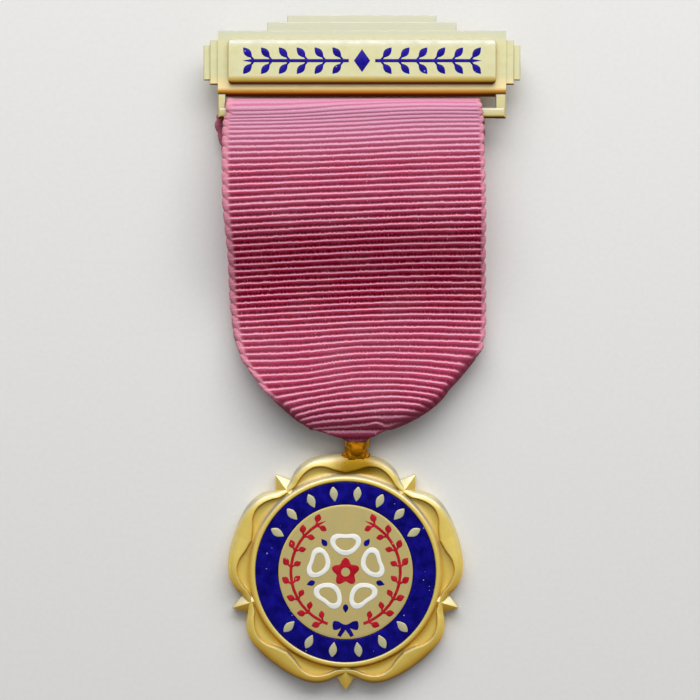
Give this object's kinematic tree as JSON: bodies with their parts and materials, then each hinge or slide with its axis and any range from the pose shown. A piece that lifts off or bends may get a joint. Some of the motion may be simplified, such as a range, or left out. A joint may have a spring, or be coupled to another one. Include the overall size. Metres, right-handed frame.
{
  "type": "ribbon medallion",
  "caption": "Breast medallion: stepped gilt brooch bar, maroon ribbed ribbon folded over a rail and drawn to a point, and a gilt rose badge with enamel ring and flower.",
  "frame": {"origin": "under the middle of the whole length and of the bar's width, on the surface that the medallion lies on", "axes": "+X to the right of the face, +Y from the badge towards the brooch bar, +Z out of the face"},
  "size_m": [0.0464, 0.0992, 0.0064],
  "materials": {
    "satin_gilt": "satin struck gilt, soft pale gold",
    "bright_gilt": "polished gilt wire",
    "maroon_ribbon": "ribbed grosgrain ribbon with a silky sheen",
    "blue_enamel": "deep blue hard enamel, polished",
    "red_enamel": "translucent red hard enamel, polished",
    "white_enamel": "opaque white hard enamel, polished"
  },
  "bodies": {
    "root": {"brooch_bar": "satin_gilt", "brooch_pin": "bright_gilt", "rose_badge": "satin_gilt", "ribbon_link": "bright_gilt", "ribbon": "maroon_ribbon", "bar_branch_left": "blue_enamel", "bar_branch_right": "blue_enamel", "bar_lozenge": "blue_enamel", "enamel_ring": "blue_enamel", "rose_heart": "red_enamel", "rose_petal_1": "white_enamel", "rose_petal_2": "white_enamel", "rose_petal_3": "white_enamel", "rose_petal_4": "white_enamel", "rose_petal_5": "white_enamel", "rose_barb_1": "blue_enamel", "rose_barb_2": "blue_enamel", "rose_barb_3": "blue_enamel", "rose_barb_4": "blue_enamel", "rose_barb_5": "blue_enamel", "wreath_left": "red_enamel", "wreath_right": "red_enamel", "wreath_bow": "blue_enamel"}
  },
  "joints": []
}
